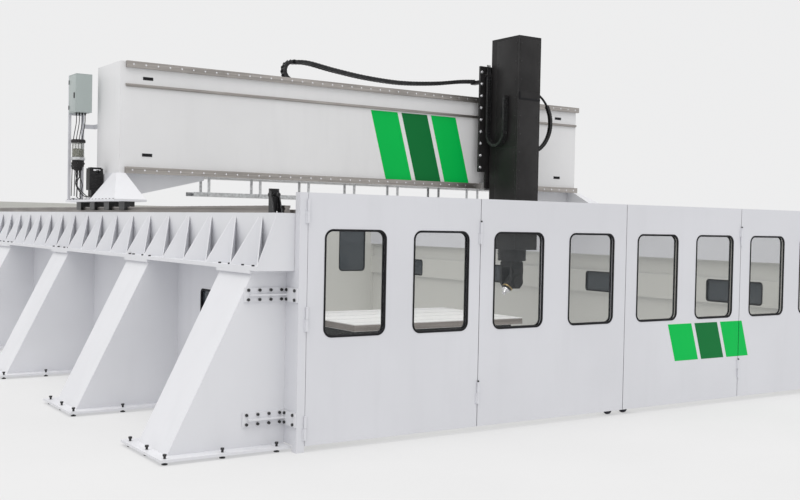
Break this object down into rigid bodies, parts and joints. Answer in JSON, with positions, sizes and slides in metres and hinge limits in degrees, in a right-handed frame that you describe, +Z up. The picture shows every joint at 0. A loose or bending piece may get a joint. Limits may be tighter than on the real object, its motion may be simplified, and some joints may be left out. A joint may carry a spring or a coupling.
{
  "type": "cnc router",
  "caption": "Moving-gantry five-axis router: gantry on high side rails, tilting spindle on a ram, work table, and a walled bay with two pairs of folding windowed doors.",
  "frame": {"origin": "on the floor, at the middle of the machine's plan", "axes": "+X right along the doors, +Y from the doors to the rear wall, +Z up"},
  "size_m": [11.436, 12.516, 5.405],
  "materials": {
    "white_paint": "satin powder coat",
    "black_metal": "fine textured black",
    "rail_steel": "ground steel",
    "bright_steel": "polished",
    "black_oxide": "black oxide",
    "gasket": "matte extruded rubber",
    "glazing": "clear polycarbonate",
    "castor_tyre": "matte",
    "zinc": "zinc plated",
    "bed_face": "matte phenolic",
    "grey_case": "hammered grey",
    "chain_plastic": "glass filled nylon",
    "clear_reservoir": "clear plastic with oil"
  },
  "bodies": {
    "frame": {"left_legs": "white_paint", "right_legs": "white_paint", "levelling_jacks": "black_oxide", "left_rail_beam": "white_paint", "right_rail_beam": "white_paint", "frame_bolts": "black_oxide", "guide_rails": "rail_steel", "drive_racks": "rail_steel", "side_walls": "white_paint", "rear_wall": "white_paint", "wall_glass": "glazing", "wall_window_seals": "gasket", "door_posts": "white_paint", "post_brackets": "white_paint", "post_hinges": "white_paint", "end_stops": "black_metal", "shock_absorbers": "black_metal", "table_top": "bed_face", "table_frame": "black_metal"},
    "door_1": {"door_1_panel": "white_paint", "door_1_glass": "glazing", "door_1_seals": "gasket", "door_1_hinges": "white_paint"},
    "door_2": {"door_2_panel": "white_paint", "door_2_glass": "glazing", "door_2_seals": "gasket", "door_2_hinges": "white_paint"},
    "door_3": {"door_3_panel": "white_paint", "door_3_glass": "glazing", "door_3_seals": "gasket", "door_3_hinges": "white_paint"},
    "door_4": {"door_4_panel": "white_paint", "door_4_glass": "glazing", "door_4_seals": "gasket", "door_4_hinges": "white_paint"},
    "castor_fork_1": {"castor_fork_1": "zinc"},
    "castor_wheel_1": {"castor_wheel_1": "castor_tyre"},
    "castor_fork_2": {"castor_fork_2": "zinc"},
    "castor_wheel_2": {"castor_wheel_2": "castor_tyre"},
    "gantry": {"gantry_beam": "white_paint", "gantry_rails": "rail_steel", "gantry_rack": "rail_steel", "gantry_feet": "white_paint", "foot_bearings": "zinc", "drive_motors": "black_metal", "service_frame": "white_paint", "junction_box": "grey_case", "lube_unit": "clear_reservoir", "cable_trays": "zinc", "gantry_chain": "chain_plastic"},
    "carriage": {"carriage_plate": "black_metal", "carriage_bearings": "zinc", "ram_chain": "chain_plastic"},
    "ram": {"ram_column": "black_metal", "ram_rails": "rail_steel", "rotary_stage": "black_metal", "ram_hose_loop": "chain_plastic"},
    "head": {"head_fork": "black_metal"},
    "spindle": {"spindle_body": "black_metal"},
    "tool": {"tool_holder": "bright_steel"}
  },
  "joints": [
    {"name": "door_1_swing", "type": "hinge", "parent": "frame", "child": "door_1", "pos_m": [-4.3, -6.244, 1.3], "axis": [0, 0, -1], "range_deg": [0, 95]},
    {"name": "door_2_fold", "type": "hinge", "parent": "door_1", "child": "door_2", "pos_m": [-2.172, -6.244, 1.3], "axis": [0, 0, -1], "range_deg": [0, 175]},
    {"name": "door_4_swing", "type": "hinge", "parent": "frame", "child": "door_4", "pos_m": [4.3, -6.244, 1.3], "axis": [0, 0, 1], "range_deg": [0, 95]},
    {"name": "door_3_fold", "type": "hinge", "parent": "door_4", "child": "door_3", "pos_m": [2.17, -6.244, 1.3], "axis": [0, 0, 1], "range_deg": [0, 175]},
    {"name": "castor_1_swivel", "type": "hinge", "parent": "door_2", "child": "castor_fork_1", "pos_m": [-0.077, -6.075, 0.15], "axis": [0, 0, 1], "continuous": true},
    {"name": "castor_1_roll", "type": "hinge", "parent": "castor_fork_1", "child": "castor_wheel_1", "pos_m": [-0.077, -6.105, 0.0635], "axis": [1, 0, 0], "continuous": true},
    {"name": "castor_2_swivel", "type": "hinge", "parent": "door_3", "child": "castor_fork_2", "pos_m": [0.183, -6.075, 0.15], "axis": [0, 0, 1], "continuous": true},
    {"name": "castor_2_roll", "type": "hinge", "parent": "castor_fork_2", "child": "castor_wheel_2", "pos_m": [0.183, -6.105, 0.0635], "axis": [1, 0, 0], "continuous": true},
    {"name": "gantry_travel", "type": "slide", "parent": "frame", "child": "gantry", "axis": [0, 1, 0], "range_m": [-4.1, 5.4]},
    {"name": "carriage_travel", "type": "slide", "parent": "gantry", "child": "carriage", "axis": [1, 0, 0], "range_m": [-5.9, 1.2], "deforming": ["gantry_chain"]},
    {"name": "ram_travel", "type": "slide", "parent": "carriage", "child": "ram", "axis": [0, 0, 1], "range_m": [-0.19, 1.2], "deforming": ["ram_chain"]},
    {"name": "head_turn", "type": "hinge", "parent": "ram", "child": "head", "pos_m": [2.332, -1.4055, 1.6], "axis": [0, 0, 1], "range_deg": [-245, 245]},
    {"name": "spindle_tilt", "type": "hinge", "parent": "head", "child": "spindle", "pos_m": [2.332, -1.4055, 1.31], "axis": [0, 1, 0], "range_deg": [-158, 82]},
    {"name": "tool_spin", "type": "hinge", "parent": "spindle", "child": "tool", "pos_m": [2.332, -1.4055, 1.31], "axis": [-0.6157, 0, -0.788], "continuous": true}
  ]
}
